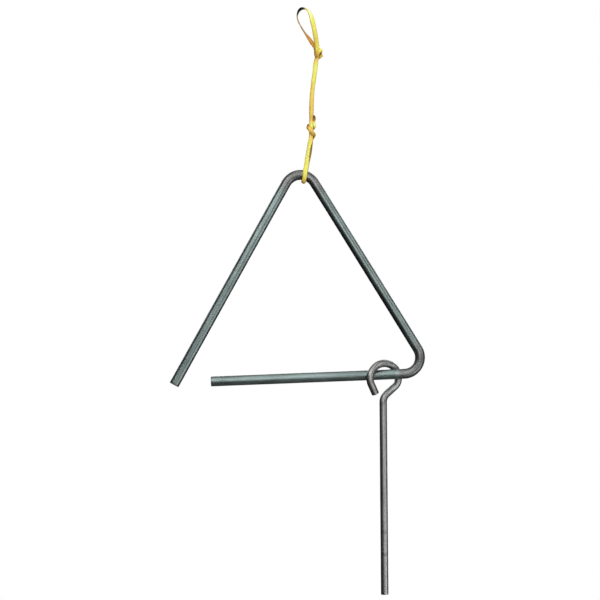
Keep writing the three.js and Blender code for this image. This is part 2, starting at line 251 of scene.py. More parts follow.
def bent_route(start, heading, moves, turn_step):
    """A rod's middle line bent in the XZ plane, as points, tangents and whether each point is in a bend.
    Each move is a straight run (length, 0) or an arc (radius, turn). On an arc, point = centre +
    radius * (sin, -cos) of the heading."""
    point = np.array(start, float)
    points, headings, bends = [point[None]], [np.array([heading])], [np.zeros(1)]
    for size, turn in moves:
        if turn == 0:
            steps = even_steps(size, RUN_STEP)
            ahead = np.array([math.cos(heading), 0, math.sin(heading)])
            points.append(point + size * steps[:, None] * ahead)
            headings.append(np.full(len(steps), heading))
            bends.append(np.zeros(len(steps)))
        else:
            steps = even_steps(abs(turn), turn_step)
            swept = heading + turn * steps
            side = size * math.copysign(1, turn)
            x = side * (np.sin(swept) - math.sin(heading))
            z = side * (math.cos(heading) - np.cos(swept))
            points.append(point + np.stack([x, 0 * x, z], axis=1))
            headings.append(swept)
            bends.append(np.ones(len(steps)))
            heading += turn
        point = points[-1][-1]
    headings = np.concatenate(headings)
    tangents = np.stack([np.cos(headings), 0 * headings, np.sin(headings)], axis=1)
    return np.concatenate(points), tangents, np.concatenate(bends)


def softened(values, along, reach):
    """Values along a line, averaged over a distance on both sides with a smooth bell weight."""
    apart = (along[:, None] - along[None, :]) / reach
    spacing = np.gradient(along)
    weight = np.exp(-apart**2) * spacing[None, :]
    return (weight @ values) / weight.sum(axis=1)


def closed_tube(name, rings, material, attributes):
    """A mesh over a grid of rings (along, around, xyz): quads between neighbours, and one face over each end.
    Rings run counterclockwise about the direction of travel, so that the faces point outwards."""
    rows, around = rings.shape[:2]
    index = np.arange(rows * around).reshape(rows, around)
    following = np.roll(index, -1, axis=1)
    quads = np.stack([index[:-1], following[:-1], following[1:], index[1:]], axis=-1).reshape(-1, 4)
    corners = np.concatenate([quads.ravel(), index[0][::-1], index[-1]])
    starts = np.concatenate([4 * np.arange(len(quads)), 4 * len(quads) + np.array([0, around])])
    mesh = bpy.data.meshes.new(name)
    mesh.vertices.add(rows * around)
    mesh.vertices.foreach_set("co", rings.astype(np.float32).ravel())
    mesh.loops.add(len(corners))
    mesh.loops.foreach_set("vertex_index", corners.astype(np.int32))
    mesh.polygons.add(len(starts))
    mesh.polygons.foreach_set("loop_start", starts.astype(np.int32))
    for key, values in attributes.items():
        kind, field = ("FLOAT_VECTOR", "vector") if values.ndim == 3 else ("FLOAT", "value")
        layer = mesh.attributes.new(key, kind, "POINT")
        layer.data.foreach_set(field, values.astype(np.float32).ravel())
    mesh.update(calc_edges=True)
    mesh.validate()
    mesh.shade_smooth()
    mesh.set_sharp_from_angle(angle=SHARP_ANGLE)
    mesh.materials.append(material)
    piece = bpy.data.objects.new(name, mesh)
    bpy.context.scene.collection.objects.link(piece)
    return piece


def rod_piece(name, route, face, sizes, cut_tilts, bare_ends, material, tones):
    """A round rod along a route. At angle q its surface is middle + r (across cos q + face sin q), where r is
    the radius with slow unevenness, a few hundredths less on the left of a bend and a little more at its
    front and back. Each end steps in over its broken edge to a flat sawn face, tilted by a share of the
    radius. The attribute unbent holds the same point on the straight rod, and tones holds the others."""
    points, tangents, bends = route
    radius, burr = sizes.diameter / 2, sizes.burr
    along = run_lengths(points)
    q = 2 * math.pi * np.arange(ROD_SIDES) / ROD_SIDES
    across = unit(np.cross(face, tangents))
    bent = softened(bends, along, BEND_FADE * radius)
    wobble = sum(
        size * np.sin(along * rate + lag)[:, None] * np.cos(lobes * q + turn)
        for size, rate, lag, lobes, turn in WOBBLES
    )
    thin = sizes.bend_squeeze * bent[:, None] * (np.cos(q) - SIDE_SWELL * np.sin(q) ** 2)
    radii = radius * (1 + wobble - thin)

    last = len(points) - 1
    rows = np.array([0, 0, *range(len(points)), last, last])
    points, tangents, across, radii, along = (x[rows] for x in (points, tangents, across, radii, along))
    inset, push, tilt = np.zeros((3, len(rows)))
    inset[[0, 1, -2, -1]] = [burr, EDGE_INSET * burr, EDGE_INSET * burr, burr]
    push[[1, 2]] = [EDGE_SETBACK * burr, burr]
    push[[-2, -3]] = [-EDGE_SETBACK * burr, -burr]
    tilt[:3], tilt[-3:] = cut_tilts
    radii = radii - inset[:, None]
    circle = across[:, None] * np.cos(q)[:, None] + face * np.sin(q)[:, None]
    shift = push[:, None] + tilt[:, None] * np.sin(q) * radii
    rings = points[:, None] + shift[..., None] * tangents[:, None] + radii[..., None] * circle

    s = np.broadcast_to((along + push)[:, None], radii.shape)
    sawn = np.zeros(radii.shape)
    sawn[[0, 1, -1, -2]] = bare_ends
    attributes = {"unbent": np.stack([radii * np.cos(q), radii * np.sin(q), s], axis=-1), "sawn": sawn}
    for key, values in tones.items():
        attributes[key] = np.broadcast_to(values[rows][:, None], radii.shape)
    return closed_tube(name, rings, material, attributes)


def rise_and_fall(along, start, end, soft):
    """1 between two distances along a rod, falling smoothly to 0 over a soft length outside them."""
    inside = np.minimum(along - start, end - along)
    t = np.clip(inside / soft + 1, 0, 1)
    return t * t * (3 - 2 * t)


def zones(along, marks, rows):
    """A line of values along a rod for each row of a zone table: its strength inside the zone, 0 far off."""
    lines = [
        strength * rise_and_fall(along, marks[first] + start * MM, marks[last] + end * MM, soft * MM)
        for strength, first, start, last, end, soft in rows
    ]
    return np.array(lines)


# Materials


class Nodes:
    """Adds nodes to a material: each call gives an output socket, and takes sockets or constants."""

    def __init__(self, name):
        self.material = bpy.data.materials.new(name)
        self.material.use_nodes = True
        self.tree = self.material.node_tree
        self.shader = self.tree.nodes["Principled BSDF"]

    def put(self, socket, value):
        if isinstance(value, bpy.types.NodeSocket):
            self.tree.links.new(value, socket)
        elif hasattr(value, "__len__") and len(value) == 3 and len(socket.default_value) == 4:
            socket.default_value = (*value, 1.0)
        else:
            socket.default_value = value

    def add(self, kind, inputs=None, output=0, **settings):
        node = self.tree.nodes.new("ShaderNode" + kind)
        for key, value in settings.items():
            setattr(node, key, value)
        for key, value in (inputs or {}).items():
            self.put(node.inputs[key], value)
        return node.outputs[output]

    def attribute(self, name, output="Fac"):
        return self.add("Attribute", attribute_name=name, output=output)

    def scaled(self, vector, scale):
        return self.add("Mapping", {"Vector": vector, "Scale": scale}, vector_type="POINT")

    def noise(self, vector, stretch=None, scale=1.0, detail=4.0, roughness=0.55, distortion=0.0):
        inputs = {
            "Vector": self.scaled(vector, stretch) if stretch else vector,
            "Scale": scale,
            "Detail": detail,
            "Roughness": roughness,
            "Distortion": distortion,
        }
        return self.add("TexNoise", inputs)

    def between(self, value, low, high, to_low=0.0, to_high=1.0):
        inputs = {"Value": value, "From Min": low, "From Max": high, "To Min": to_low, "To Max": to_high}
        return self.add("MapRange", inputs)

    def math(self, operation, a, b=0.0):
        return self.add("Math", {0: a, 1: b}, operation=operation)

    def weighted(self, *pairs):
        """Two values times their weights, added."""
        return self.math("ADD", *(self.math("MULTIPLY", value, weight) for value, weight in pairs))

    def centred(self, value, strength):
        """A value from 0 to 1, moved to lie about 0 and then scaled."""
        return self.math("MULTIPLY", self.math("SUBTRACT", value, 0.5), strength)

    def mix(self, factor, a, b):
        node = self.tree.nodes.new("ShaderNodeMix")
        node.data_type = "RGBA"
        self.put(node.inputs["Factor"], factor)
        colours = [s for s in node.inputs if s.type == "RGBA"]
        self.put(colours[0], a)
        self.put(colours[1], b)
        return [s for s in node.outputs if s.type == "RGBA"][0]

    def bump(self, height, strength, distance, normal=None):
        inputs = {"Height": height, "Strength": strength, "Distance": distance}
        if normal is not None:
            inputs["Normal"] = normal
        return self.add("Bump", inputs)

    def finish(self, **sockets):
        for key, value in sockets.items():
            self.put(self.shader.inputs[key.replace("_", " ")], value)
        return self.material


def scaled_steel(name, dark, light, heat_dark, heat_light, bare, heat_share):
    """Hot-rolled steel under scale: lengthwise streaks, cloudy patches and fine pits. It is browner where it
    was heated, deeper or paler there by the attribute deep, and bare where it was sawn or rubbed."""
    n = Nodes(name)
    unbent = n.attribute("unbent", "Vector")
    streaks = n.noise(unbent, stretch=(900, 900, 14), detail=4.0, roughness=0.55)
    lines = n.noise(unbent, stretch=(2600, 2600, 40), detail=3.0, roughness=0.6)
    clouds = n.noise(unbent, stretch=(150, 150, 45), detail=3.0, roughness=0.5, distortion=0.4)
    grit = n.noise(unbent, scale=2600.0, detail=3.0, roughness=0.7)
    flakes = n.noise(unbent, stretch=(480, 480, 330), detail=6.0, roughness=0.7)
    tone = n.weighted((n.weighted((streaks, 0.55), (clouds, 0.45)), 0.9), (flakes, 0.1))
    plain = n.mix(n.between(tone, 0.31, 0.69), dark, light)
    grain = n.math("SUBTRACT", n.between(flakes, 0.1, 0.9), n.attribute("deep"))
    heated = n.mix(grain, heat_dark, heat_light)
    heat = n.math("MULTIPLY", n.attribute("browned"), heat_share)
    heat = n.between(n.math("ADD", heat, n.centred(clouds, 0.35)), 0.1, 0.9)
    surface = n.mix(heat, plain, heated)
    rubbed = n.math("MULTIPLY", n.attribute("rub"), n.between(lines, 0.38, 0.6))
    worn = n.math("MAXIMUM", n.math("MULTIPLY", n.attribute("sawn"), 0.9), rubbed)
    surface = n.mix(worn, surface, bare)
    rough = n.between(n.weighted((clouds, 0.5), (grit, 0.5)), 0.3, 0.7, 0.35, 0.48)
    normal = n.bump(n.weighted((grit, 0.5), (lines, 0.5)), strength=0.12, distance=0.12 * MM)
    normal = n.bump(flakes, strength=0.06, distance=0.35 * MM, normal=normal)
    return n.finish(Base_Color=surface, Metallic=1.0, Roughness=rough, Normal=normal)


def lace_leather(name, painted_highlight, lemon, gold, tan, flesh, edge, painted_shade):
    """Leather lace: yellow grain side with fine pores and drawn lines, orange-brown suede on the other side,
    and darker cut edges whose darkened rims are partly painted shade for the creases. The attribute tone goes
    from near-black painted shade through tan, gold and lemon to the palest yellow, a painted highlight."""
    n = Nodes(name)
    flat = n.attribute("flat", "Vector")
    side = n.attribute("side")
    rim = n.attribute("rim")
    clouds = n.noise(flat, stretch=(260, 260, 70), detail=4.0, roughness=0.6)
    drawn = n.noise(flat, stretch=(1500, 1500, 90), detail=4.0, roughness=0.65)
    pores = n.add("TexVoronoi", {"Vector": flat, "Scale": 3600.0}, feature="F1")
    fibres = n.noise(flat, stretch=(2400, 2400, 500), detail=5.0, roughness=0.7, distortion=0.6)
    mottle = n.math("ADD", n.between(clouds, 0.3, 0.7, -0.1, 0.1), n.between(drawn, 0.3, 0.7, 0.07, -0.07))
    tone = n.math("ADD", n.attribute("tone"), mottle)
    grain = n.mix(n.between(tone, 0.25, 0.6), tan, gold)
    grain = n.mix(n.between(tone, 0.6, 0.95), grain, lemon)
    # Tones above 1 pale the grain towards the palest yellow as painted highlight.
    grain = n.mix(n.between(tone, 1.0, 1.4), grain, painted_highlight)
    suede = n.mix(n.between(tone, 0.6, 1.0), flesh, gold)
    suede = n.mix(n.between(fibres, 0.35, 0.7, 0.0, 0.5), suede, edge)
    suede = n.mix(n.between(tone, 0.25, 0.5), edge, suede)
    cover = n.between(n.math("ADD", side, n.centred(fibres, 0.4)), -0.25, 0.15)
    surface = n.mix(cover, suede, grain)
    # Darker rims: partly the cut edges' own colour, partly painted shade for the creases between strands.
    edge_rim_and_painted_shade = n.math("MULTIPLY", n.between(rim, 0.74, 0.98), n.between(fibres, 0.3, 0.6, 0.35, 0.75))
    surface = n.mix(edge_rim_and_painted_shade, surface, edge)
    # Tones below 0.3 darken the lace towards near-black as painted shade.
    outside_painted_shade = n.between(tone, 0.05, 0.3)
    surface = n.mix(outside_painted_shade, painted_shade, surface)
    smooth = n.math("MULTIPLY", n.math("MULTIPLY", cover, outside_painted_shade), 0.4)
    rough = n.math("SUBTRACT", 0.9, smooth)
    normal = n.bump(n.weighted((pores, 0.5), (drawn, 0.5)), strength=0.25, distance=0.2 * MM)
    normal = n.bump(fibres, strength=0.3, distance=0.25 * MM, normal=normal)
    sheen = {"Sheen_Weight": 0.06, "Sheen_Roughness": 0.5}
    return n.finish(Base_Color=surface, Roughness=rough, Normal=normal, **sheen)


def pale_floor(name, tone, radius):
    """Matt pale floor with grey flecks, thin over the white backdrop and fading out towards its rim."""
    n = Nodes(name)
    place_on = n.add("TexCoord", output="Object")
    flecks = n.between(n.noise(place_on, scale=60.0, detail=3.0), 0.3, 0.7, 0.0, 0.06)
    surface = n.mix(flecks, tone, (0.7, 0.7, 0.7))
    reach = n.add("VectorMath", {0: n.scaled(place_on, (1, 1, 0))}, output="Value", operation="LENGTH")
    fade = n.between(reach, 0.55 * radius, 0.98 * radius, 0.3, 0.0)
    return n.finish(Base_Color=surface, Roughness=0.85, Alpha=fade)


# Steel pieces

BAR_TURN_STEP = math.radians(2)
ROD_TURN_STEP = math.radians(2.5)
# Tilt of the face at the start and at the end, as a share of the radius, and how bare the two faces are
BAR_CUT_TILTS, BAR_BARE_ENDS = (0.03, -0.025), 1.0
ROD_CUT_TILTS, ROD_BARE_ENDS = (0.02, 0.03), 0.2
# How much of the browning shows, and how much deeper in tone the striker's scuffs are
BAR_HEAT_SHARE = 1.0
ROD_HEAT_SHARE = 0.9
SCUFF_DEPTH = 0.5

# Zones of tone along the bar and along the striker's rod. A row has a strength, the mark and the millimetres
# after it where the zone starts, the same for where it ends, and the millimetres over which it fades outside
BAR_BROWNED = (
    (1.0, "apex start", 4, "apex end", 2, 20),
    (1.0, "corner start", 6, "corner end", 1, 20),
)
BAR_BEFORE_BASE = ((1.0, "left end", 0, "corner end", 3, 5),)
BAR_DEEP = (
    (0.25, "apex start", 12, "apex start", 16, 8),
    (-0.42, "apex start", 27, "apex start", 36, 8),
    (0.05, "corner start", 14, "corner start", 18, 8),
    (-0.28, "corner start", -2, "corner start", 6, 6),
)
BAR_RUBBED = ((0.3, "corner end", 6.4, "corner end", 7.6, 1),)
ROD_SCUFFS = (
    (1.0, "foot", 39.8, "foot", 40.8, 2.2),
    (0.7, "foot", 62.0, "foot", 63.2, 2.6),
)
ROD_BROWNED = (
    (1.0, "foot", 0, "foot", 14, 20),
    (0.7, "neck", -1, "tip", 0, 8),
)
ROD_DEEP_AND_PAINTED_SHADE = (
    (-0.2, "foot", 0, "foot", 24, 14),
    (0.25, "neck", 0, "neck", 8, 6),
    (-0.55, "crest", -40, "crest", -11, 4),
    # Painted shade over the top of the eye
    (0.65, "crest", -6, "crest", 3, 4),
    (0.45, "crest", 11, "crest", 16, 5),
    (-0.12, "crest", 24, "tip", -8, 4),
    # Painted shade at the cut tip
    (0.5, "tip", -3, "tip", 0, 5),
)
ROD_RUBBED = ((0.8, "crest", -37, "crest", -11, 5),)


def triangle_place(points, bar):
    """From the upright triangle about its apex bend's centre to where it hangs."""
    shift = bar.seat_shift
    centre = np.array(bar.seat) - bar.bend_radius * np.array([math.sin(shift), 0, math.cos(shift)])
    return turned_about(1, points, -bar.lean) + centre


def triangle_route(bar):
    """The bar's middle line from the left sawn end round apex and corner to the sawn end of the base."""
    heading = (math.pi - bar.apex_angle) / 2
    outward = np.array([-math.sin(heading), 0, math.cos(heading)])
    upward = np.array([math.cos(heading), 0, math.sin(heading)])
    moves = [
        (bar.left_leg, 0),
        (bar.bend_radius, bar.apex_angle - math.pi),
        (bar.right_leg, 0),
        (bar.bend_radius, bar.corner_angle - math.pi),
        (bar.base, 0),
    ]
    start = outward * bar.bend_radius - upward * bar.left_leg
    return bent_route(start, heading, moves, BAR_TURN_STEP)


def bar_marks(bar):
    """Distances along the bar of its left end and of the starts and ends of its two bends."""
    apex_end = bar.left_leg + bar.bend_radius * (math.pi - bar.apex_angle)
    corner_start = apex_end + bar.right_leg
    return {
        "left end": 0.0,
        "apex start": bar.left_leg,
        "apex end": apex_end,
        "corner start": corner_start,
        "corner end": corner_start + bar.bend_radius * (math.pi - bar.corner_angle),
    }


def bar_tones(along, marks):
    """How browned by heat, how deep in tone and how rubbed the bar is along its length."""
    before_base = zones(along, marks, BAR_BEFORE_BASE).max(axis=0)
    return {
        "browned": zones(along, marks, BAR_BROWNED).max(axis=0) * before_base,
        "deep": zones(along, marks, BAR_DEEP).sum(axis=0),
        "rub": zones(along, marks, BAR_RUBBED).max(axis=0),
    }


class MakeTriangleBar(bpy.types.Operator):
    """Builds the open triangle of bent round bar"""

    bl_idname = "dinner_triangle.make_bar"
    bl_label = "Triangle bar"

    def execute(self, context):
        bar, finish = context.scene.dinner_bar, context.scene.dinner_finish
        points, tangents, bends = triangle_route(bar)
        steel = scaled_steel(
            "scaled_bar_steel",
            finish.scale_dark,
            finish.scale_light,
            finish.bend_dark,
            finish.bend_light,
            finish.sawn_steel,
            BAR_HEAT_SHARE,
        )
        piece = rod_piece(
            "bent_bar",
            (triangle_place(points, bar), turned_about(1, tangents, -bar.lean), bends),
            TOWARDS_VIEWER,
            bar,
            BAR_CUT_TILTS,
            BAR_BARE_ENDS,
            steel,
            bar_tones(run_lengths(points), bar_marks(bar)),
        )
        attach(piece, "triangle")
        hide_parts("triangle_bar")
        return {"FINISHED"}


def eye_sizes(striker, bar):
    """From rod to bar middle in a snug fit, the eye's radius from the front, and its reach to the back."""
    snug = (bar.diameter + striker.diameter) / 2
    return snug, snug + striker.eye_play, snug + striker.side_clearance


def striker_route(striker, bar):
    """The rod's middle line from the foot of the shaft through the neck and round the eye to its free end,
    about the eye's middle, and the normal of its plane. It is laid out as seen from the front, and then each
    point goes back by y = x * reach / eye, so that the eye passes the bar in front on the left and behind on
    the right."""
    _, eye, reach = eye_sizes(striker, bar)
    turn, neck = striker.neck_turn, striker.neck_radius
    jog = eye + striker.shaft_offset - 2 * neck * (1 - math.cos(turn))
    slant = jog / math.sin(turn)
    drop = 2 * neck * math.sin(turn) + slant * math.cos(turn) + striker.neck_rise
    foot = (-striker.shaft_offset, 0, -drop - striker.shaft_length)
    moves = [
        (striker.shaft_length, 0),
        (neck, -turn),
        (slant, 0),
        (neck, turn),
        (striker.neck_rise, 0),
        (eye, striker.eye_sweep),
        (striker.eye_tail, 0),
    ]
    points, tangents, bends = bent_route(foot, math.pi / 2, moves, ROD_TURN_STEP)
    skew = reach / eye
    points[:, 1] = skew * points[:, 0]
    tangents[:, 1] = skew * tangents[:, 0]
    return points, unit(tangents), bends, unit(np.array([[skew, -1.0, 0.0]]))


def eye_place(striker, bar):
    """The eye's middle: on the base, dropped until the eye's two shoulders sit on the bar, where the nearest
    point of the oval (reach cos, eye sin - drop) is the seat's distance from the bar's middle."""
    snug, eye, reach = eye_sizes(striker, bar)
    seat = snug + striker.seat_gap
    drop = math.sqrt((eye**2 - reach**2) * (1 - (seat / reach) ** 2))
    points, _, _ = triangle_route(bar)
    hook = bar_marks(bar)["corner end"] + striker.from_corner
    along = run_lengths(points)
    upright = np.array([[np.interp(hook, along, points[:, k]) for k in range(3)]])
    return triangle_place(upright, bar)[0] - np.array([0, 0, drop])


def rod_tones(along, marks):
    """How browned by heat, how deep in tone and how rubbed the striker's rod is along its length. Its deep
    tone holds painted shade over the top of the eye and at the cut tip.
    """
    scuffs = zones(along, marks, ROD_SCUFFS).max(axis=0)
    return {
        "browned": np.maximum(zones(along, marks, ROD_BROWNED).max(axis=0), scuffs),
        "deep": zones(along, marks, ROD_DEEP_AND_PAINTED_SHADE).sum(axis=0) + SCUFF_DEPTH * scuffs,
        "rub": zones(along, marks, ROD_RUBBED).max(axis=0),
    }


class MakeStriker(bpy.types.Operator):
    """Builds the striker's bent rod, hooked on the base"""

    bl_idname = "dinner_triangle.make_striker"
    bl_label = "Striker"

    def execute(self, context):
        scene = context.scene
        striker, bar, finish = scene.dinner_striker, scene.dinner_bar, scene.dinner_finish
        points, tangents, bends, face = striker_route(striker, bar)
        along = run_lengths(points)
        crest = along[points[:, 2].argmax()]
        marks = {"foot": 0.0, "neck": striker.shaft_length, "crest": crest, "tip": along[-1]}
        steel = scaled_steel(
            "scaled_rod_steel",
            finish.rod_dark,
            finish.rod_light,
            finish.eye_dark,
            finish.eye_light,
            finish.sawn_steel,
            ROD_HEAT_SHARE,
        )
        placed = turned_about(1, points, -striker.lean) + eye_place(striker, bar)
        piece = rod_piece(
            "hooked_rod",
            (placed, turned_about(1, tangents, -striker.lean), bends),
            turned_about(1, face, -striker.lean)[0],
            striker,
            ROD_CUT_TILTS,
            ROD_BARE_ENDS,
            steel,
            rod_tones(along, marks),
        )
        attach(piece, "striker")
        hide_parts("striker")
        return {"FINISHED"}


# Leather lace

# Point on the free strand where the two lengths of lace meet
SEAM = np.array([9.0, 0.0, -72.0]) * MM
# Steps for each row of the route, from which its points are read again at even distances
FINE_STEPS = 64
# The section's power, and the square of the place across it that stays put when the strip is rolled
SECTION_POWER = 4
ROLL_REST = 0.4
# Slow drift of the width along the strip: share, radians per metre and lag
DRIFTS = (
    (0.025, 160, 0),
    (0.02, 410, 2),
)
# Fine ripple of the surface: size, radians per metre along the strip and lobes round it
RIPPLE, RIPPLE_RATE, RIPPLE_LOBES = 0.03 * MM, 900, 3

# Each row of the lace's route is a point in millimetres, the direction that the grain side faces, a share of
# the width, how far the strip is rolled in millimetres, and a tone: 0 and below is near-black painted shade,
# 0.3 tan, 0.6 gold, 1 lemon and 1.4 the palest yellow, a painted highlight. The rows run from the upper tail
# to the lower one.

# The knot of the hanging loop, from its tail behind, across the front and behind again
LOOP_KNOT = [
    (18.2, -0.6, -45.2, 0.35, 0.85, -0.40, 0.45, 0.3, 1.00),
    (16.6, -0.4, -46.2, 0.30, 0.90, -0.30, 0.65, 0.4, 1.20),
    (14.4, 0.9, -47.4, 0.10, 0.98, -0.20, 0.70, 0.4, 0.80),
    (12.5, 1.3, -47.8, -0.30, 0.93, -0.20, 0.72, 0.5, 0.50),
    (11.4, 0.0, -47.3, -0.97, 0.10, -0.20, 0.74, 0.6, 0.30),
    (12.0, -1.8, -46.1, -0.55, -0.83, 0.00, 0.70, 0.8, 0.32),
    (13.7, -2.6, -43.4, 0.05, -1.00, 0.10, 0.70, 0.9, 0.45),
    (15.7, -2.2, -40.9, 0.50, -0.82, 0.25, 0.72, 0.9, 0.95),
    (17.0, -0.4, -40.0, 0.93, -0.30, 0.20, 0.76, 0.8, 1.05),
    (16.5, 1.7, -42.2, 0.75, 0.65, 0.00, 0.80, 0.6, 0.60),
    (14.2, 2.8, -45.0, 0.15, 0.98, -0.10, 0.80, 0.5, 0.50),
    (12.2, 2.7, -45.5, -0.30, 0.94, -0.15, 0.86, 0.5, 0.45),
    (11.4, 2.5, -43.4, -0.55, 0.83, 0.00, 0.92, 0.4, 0.45),
    (11.3, 2.7, -40.2, -0.55, 0.83, 0.00, 0.95, 0.4, 0.50),
]
# Up the loop's back strand, over its top and down its front strand
# Its top left is toned down to near-black painted shade, and the top of the front strand up to a pale painted
# highlight.
HANG_LOOP = [
    (10.6, 3.1, -37.0, -0.45, 0.88, -0.10, 0.94, 0.4, 0.50),
    (8.5, 3.6, -33.8, -0.45, 0.88, -0.15, 0.92, 0.4, 0.55),
    (4.5, 4.4, -28.0, -0.58, 0.76, -0.20, 0.88, 0.4, 0.60),
    (0.1, 5.5, -21.6, -0.88, 0.30, -0.30, 0.90, 0.2, 0.34),
    (-3.6, 6.3, -15.4, -0.93, 0.15, -0.25, 0.95, 0.2, 0.28),
    (-5.9, 6.5, -11.0, -0.98, 0.00, -0.15, 0.90, 0.1, 0.40),
    (-7.2, 6.2, -6.8, -1.00, 0.03, 0.00, 0.85, 0.1, 0.36),
    (-6.8, 5.2, -2.5, -0.93, 0.15, 0.30, 0.95, 0.2, 0.05),
    (-5.0, 3.6, 0.6, -0.55, 0.30, 0.78, 1.00, 0.3, -0.20),
    (-2.2, 1.4, 1.9, -0.10, 0.30, 0.95, 1.00, 0.3, -0.20),
    (1.2, -1.4, 1.0, 0.20, 0.10, 0.97, 1.00, 0.4, 0.45),
    (4.3, -4.2, -1.8, 0.50, -0.40, 0.75, 1.06, 0.5, 1.35),
    (6.6, -6.6, -6.3, 0.55, -0.73, 0.40, 1.10, 0.6, 1.30),
    (8.2, -7.7, -12.8, 0.45, -0.88, 0.12, 1.08, 0.7, 1.00),
    (10.0, -7.2, -20.8, 0.32, -0.95, 0.00, 0.98, 0.8, 0.85),
    (11.3, -5.3, -28.4, 0.25, -0.97, 0.00, 0.96, 0.8, 0.75),
    (12.4, -3.0, -34.6, 0.22, -0.97, 0.00, 0.95, 0.8, 0.85),
]
# Through the upper knot, down the free strand and through the lower knot
STRAND = [
    (12.9, -1.6, -40.0, 0.15, -0.98, 0.00, 0.90, 0.8, 0.85),
    (12.8, -0.6, -44.5, 0.00, -1.00, 0.00, 0.85, 0.7, 0.50),
    (11.9, -0.3, -49.5, 0.00, -1.00, 0.00, 0.88, 0.7, 0.55),
    (11.1, -0.2, -54.5, 0.00, -1.00, 0.00, 0.98, 0.8, 0.92),
    (10.5, -0.4, -60.5, 0.00, -1.00, 0.00, 0.92, 0.8, 0.97),
    (9.4, -0.5, -68.5, 0.00, -1.00, 0.00, 0.90, 0.8, 0.95),
    (8.0, -0.4, -79.0, 0.00, -1.00, 0.00, 0.88, 1.0, 0.72),
    (7.3, -0.2, -88.0, 0.00, -1.00, 0.00, 0.92, 1.1, 0.62),
    (7.0, -0.1, -97.0, 0.00, -1.00, 0.00, 0.97, 1.2, 0.54),
    (6.8, -0.1, -106.0, 0.10, -1.00, 0.00, 0.84, 1.2, 0.50),
    (6.7, -0.5, -112.0, 0.10, -1.00, 0.00, 0.80, 1.1, 0.65),
    (6.6, -1.0, -116.0, 0.00, -1.00, 0.00, 0.90, 0.9, 1.10),
    (6.6, -0.8, -120.5, 0.00, -1.00, 0.00, 0.88, 0.7, 0.60),
    (6.6, -1.2, -125.3, 0.00, -1.00, 0.00, 0.92, 0.7, 0.55),
]
# Down in front of the bar, under it and up behind it
APEX_LOOP = [
    (6.3, -1.9, -129.0, 0.00, -1.00, 0.00, 0.92, 0.7, 0.70),
    (4.9, -2.9, -134.5, -0.30, -0.95, 0.00, 0.90, 0.7, 0.92),
    (3.8, -3.6, -140.0, -0.48, -0.87, 0.00, 0.86, 0.6, 1.05),
    (2.6, -4.7, -147.5, -0.42, -0.90, 0.00, 0.86, 0.5, 1.05),
    (1.9, -5.9, -155.5, -0.10, -1.00, 0.00, 0.98, 0.5, 1.00),
    (0.7, -6.5, -162.0, 0.00, -1.00, 0.00, 0.96, 0.5, 0.95),
    (-0.1, -6.1, -168.4, -0.05, -0.90, -0.45, 0.96, 0.8, 0.75),
    (-0.8, -3.7, -171.7, -0.15, -0.50, -0.85, 0.98, 1.4, 0.65),
    (-1.1, 0.0, -172.6, -0.22, 0.00, -1.00, 1.00, 1.7, 0.60),
    (-0.9, 3.6, -171.7, -0.15, 0.50, -0.85, 1.00, 1.4, 0.60),
    (-0.2, 6.1, -168.5, 0.00, 0.90, -0.45, 1.00, 0.8, 0.60),
    (0.7, 6.6, -162.5, 0.00, 1.00, 0.00, 1.00, 0.5, 0.60),
    (1.8, 6.4, -157.0, 0.00, 1.00, 0.00, 1.00, 0.5, 0.50),
    (3.1, 5.8, -150.5, 0.00, 1.00, 0.00, 1.00, 0.5, 0.32),
    (4.8, 4.8, -142.5, 0.00, 1.00, 0.00, 1.00, 0.5, 0.30),
    (5.7, 3.9, -136.5, 0.10, 1.00, 0.00, 0.96, 0.5, 0.36),
]
# The lower knot: from behind round its right side, across the front, round its left side and to the tail
# The tone falls as painted shade towards the lower right of the band's front, at its left turn and along the
# tail, and rises to a pale painted highlight just before the tail.
TIE_KNOT = [
    (6.2, 3.3, -132.0, 0.20, 0.98, 0.00, 0.90, 0.5, 0.70),
    (7.2, 2.7, -128.4, 0.45, 0.88, 0.00, 0.86, 0.6, 0.65),
    (9.4, 1.4, -126.4, 0.88, 0.45, -0.10, 0.88, 0.7, 0.45),
    (10.4, -0.6, -125.2, 0.92, -0.30, -0.10, 0.90, 0.8, 0.32),
    (9.1, -2.5, -123.8, 0.40, -0.82, 0.35, 0.92, 1.1, 0.32),
    (6.9, -3.2, -121.2, 0.05, -0.86, 0.48, 0.98, 1.2, 0.44),
    (4.7, -2.7, -118.4, -0.35, -0.80, 0.48, 1.00, 1.2, 0.50),
    (3.0, -0.9, -116.8, -0.92, -0.20, 0.30, 0.95, 0.8, 0.14),
    (3.6, 1.2, -115.9, -0.60, 0.78, 0.20, 0.90, 0.6, 0.25),
    (5.9, 2.2, -116.2, 0.00, 1.00, 0.10, 0.85, 0.5, 0.40),
    (8.4, 1.9, -117.6, 0.55, 0.80, 0.00, 0.75, 0.5, 0.60),
    (10.2, 0.6, -117.6, 0.90, -0.10, 0.00, 0.70, 0.4, 0.55),
    (9.9, 0.1, -114.4, 0.72, -0.70, 0.00, 0.62, 0.3, 1.40),
    (9.5, -0.2, -111.2, 0.45, -0.88, 0.00, 0.52, 0.3, 0.35),
    (9.9, -0.3, -108.6, 0.40, -0.92, 0.00, 0.58, 0.2, 0.10),
    (9.3, -0.4, -105.2, 0.40, -0.92, 0.00, 0.22, 0.1, 0.14),
]


